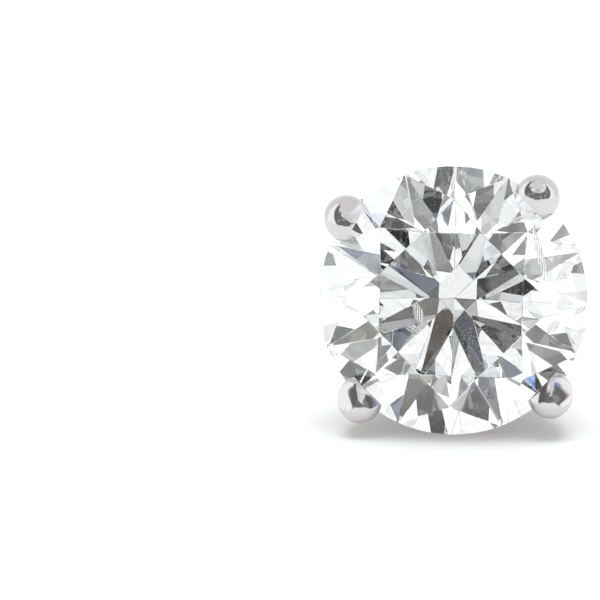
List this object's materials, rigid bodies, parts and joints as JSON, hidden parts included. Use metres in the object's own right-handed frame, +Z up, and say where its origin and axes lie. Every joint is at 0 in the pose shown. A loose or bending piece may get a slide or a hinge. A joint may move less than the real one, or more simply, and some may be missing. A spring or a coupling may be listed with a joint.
{
  "type": "stud earring",
  "caption": "Round brilliant-cut stone in a four-prong basket with a straight post and a scroll clutch pushed onto it.",
  "frame": {"origin": "middle of the bottom of the box round the whole stud, on the surface that it lies on", "axes": "+Z up; the post runs to +Y and the stone's table looks to -Y, leaning 7.9 degrees up, as the stud lies on the edge of its girdle and the lower scroll of its clutch; +X is to the right as seen from in front of the stone"},
  "size_m": [0.0064, 0.0158, 0.0065],
  "materials": {
    "stone": "polished facets, colourless, with a few small feathers inside",
    "setting_metal": "polished white gold",
    "clutch_metal": "polished white gold sheet, fine lines along its rolls"
  },
  "bodies": {
    "root": {"brilliant_stone": "stone", "prong_setting_with_post": "setting_metal", "clutch_back": "clutch_metal"}
  },
  "joints": []
}
